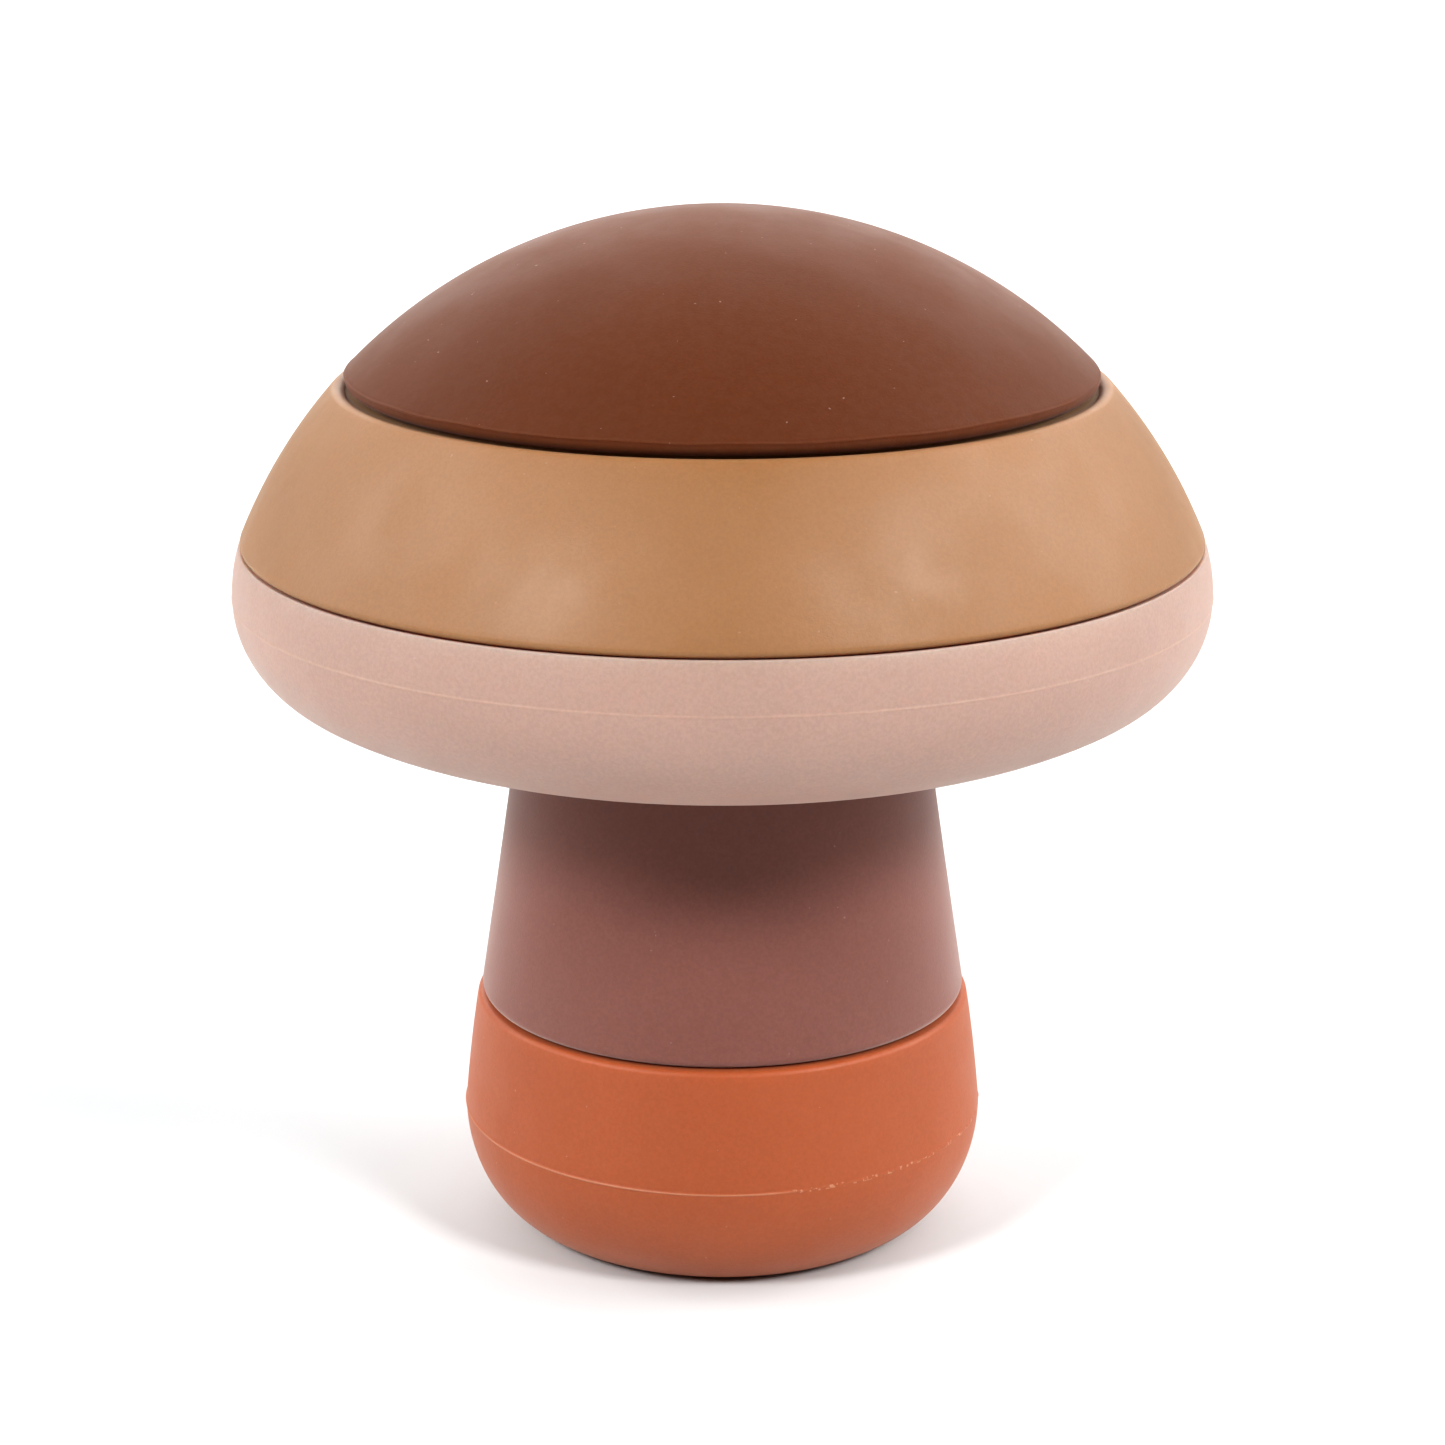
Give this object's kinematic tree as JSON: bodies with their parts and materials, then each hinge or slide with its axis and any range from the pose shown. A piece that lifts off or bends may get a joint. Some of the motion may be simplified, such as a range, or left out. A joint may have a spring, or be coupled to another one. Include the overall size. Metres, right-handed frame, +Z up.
{
  "type": "stacking mushroom toy",
  "caption": "Soft silicone stacking toy shaped like a mushroom: base, stem, and a cap of brim, band and dome, each lifting off the one below.",
  "frame": {"origin": "centre of the foot of the base, on the table", "axes": "+Z up along the stack's axis of symmetry"},
  "size_m": [0.105, 0.105, 0.1122],
  "materials": {
    "terracotta_silicone": "matte",
    "mauve_brown_silicone": "matte",
    "dusty_pink_silicone": "matte",
    "ochre_silicone": "matte",
    "chestnut_silicone": "matte"
  },
  "bodies": {
    "base": {"base": "terracotta_silicone"},
    "stem": {"stem": "mauve_brown_silicone"},
    "cap_brim": {"cap_brim": "dusty_pink_silicone"},
    "cap_band": {"cap_band": "ochre_silicone"},
    "cap_dome": {"cap_dome": "chestnut_silicone"}
  },
  "joints": [
    {"name": "stem_lift", "type": "slide", "parent": "base", "child": "stem", "axis": [0, 0, 1], "range_m": [0, 0.06]},
    {"name": "brim_lift", "type": "slide", "parent": "stem", "child": "cap_brim", "axis": [0, 0, 1], "range_m": [0, 0.06]},
    {"name": "band_lift", "type": "slide", "parent": "cap_brim", "child": "cap_band", "axis": [0, 0, 1], "range_m": [0, 0.06]},
    {"name": "dome_lift", "type": "slide", "parent": "cap_band", "child": "cap_dome", "axis": [0, 0, 1], "range_m": [0, 0.06]}
  ]
}
